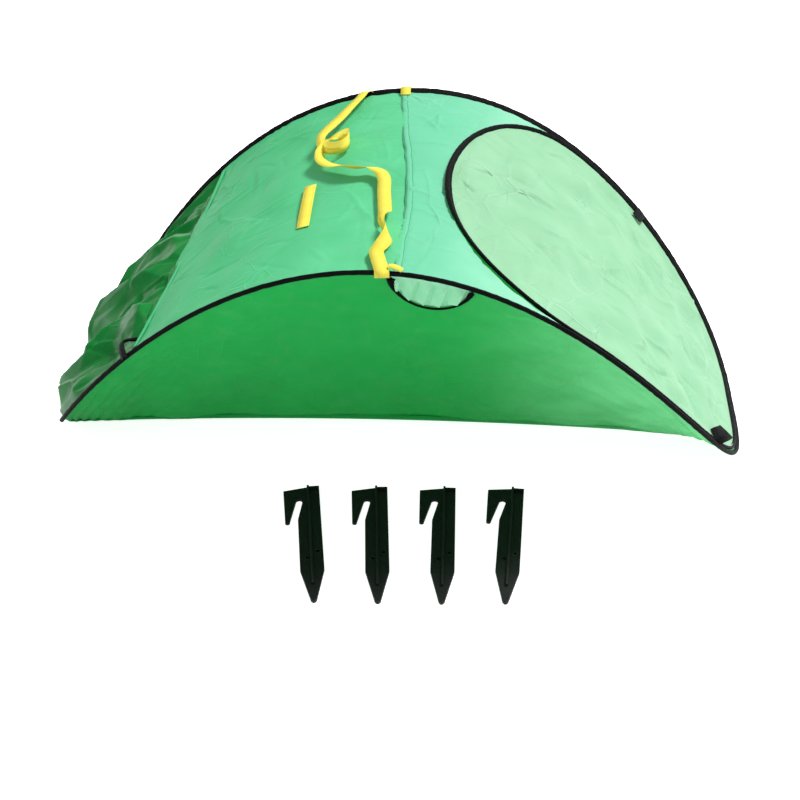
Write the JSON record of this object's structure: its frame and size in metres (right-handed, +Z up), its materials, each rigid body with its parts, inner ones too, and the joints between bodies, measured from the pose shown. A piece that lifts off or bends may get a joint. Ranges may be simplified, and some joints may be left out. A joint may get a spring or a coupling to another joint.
{
  "type": "pop up greenhouse",
  "caption": "Arched pop-up plant tent of thin green fabric on a sprung hoop, with a framed end door, a loose end, a carrying strap and hooked ground pegs.",
  "frame": {"origin": "on the ground, midway between the tent's two tips and its two long sides", "axes": "+X to the framed door, +Y to the back, +Z up"},
  "size_m": [1.0601, 0.7886, 0.398],
  "materials": {
    "spring_steel": "satin",
    "ferrule_steel": "bright",
    "black_binding": "woven tape",
    "roof_fabric": "thin coated polyester, slightly shiny",
    "door_fabric": "thin coated polyester, translucent",
    "wall_fabric": "thin coated polyester",
    "yellow_webbing": "woven webbing",
    "black_webbing": "woven webbing",
    "peg_plastic": "glossy moulded"
  },
  "bodies": {
    "tent": {"main_hoop_wire": "spring_steel", "main_hoop_ferrule": "ferrule_steel", "main_hoop_binding": "black_binding", "roof_panel_left": "roof_fabric", "roof_panel_right": "roof_fabric", "roof_seam_tape": "roof_fabric", "front_wall": "wall_fabric", "back_wall": "wall_fabric", "vent_panel": "roof_fabric", "vent_binding": "black_binding", "left_end_panel": "wall_fabric", "left_end_binding": "black_binding", "carry_strap": "yellow_webbing", "keeper_strap": "yellow_webbing", "seam_loop": "yellow_webbing"},
    "right_door": {"right_door_wire": "spring_steel", "right_door_ferrule": "ferrule_steel", "right_door_binding": "black_binding", "right_door_panel": "door_fabric", "door_tab_back": "black_webbing", "door_tab_front": "black_webbing"},
    "peg_1": {"ground_peg_1": "peg_plastic"},
    "peg_2": {"ground_peg_2": "peg_plastic"},
    "peg_3": {"ground_peg_3": "peg_plastic"},
    "peg_4": {"ground_peg_4": "peg_plastic"}
  },
  "joints": [
    {"name": "right_door_hinge", "type": "hinge", "parent": "tent", "child": "right_door", "pos_m": [0.525, 0, 0.005], "axis": [0, 1, 0], "range_deg": [0, 110]},
    {"name": "peg_1_lift", "type": "slide", "parent": "tent", "child": "peg_1", "axis": [0, 0, 1], "range_m": [0, 0.2]},
    {"name": "peg_2_lift", "type": "slide", "parent": "tent", "child": "peg_2", "axis": [0, 0, 1], "range_m": [0, 0.2]},
    {"name": "peg_3_lift", "type": "slide", "parent": "tent", "child": "peg_3", "axis": [0, 0, 1], "range_m": [0, 0.2]},
    {"name": "peg_4_lift", "type": "slide", "parent": "tent", "child": "peg_4", "axis": [0, 0, 1], "range_m": [0, 0.2]}
  ]
}
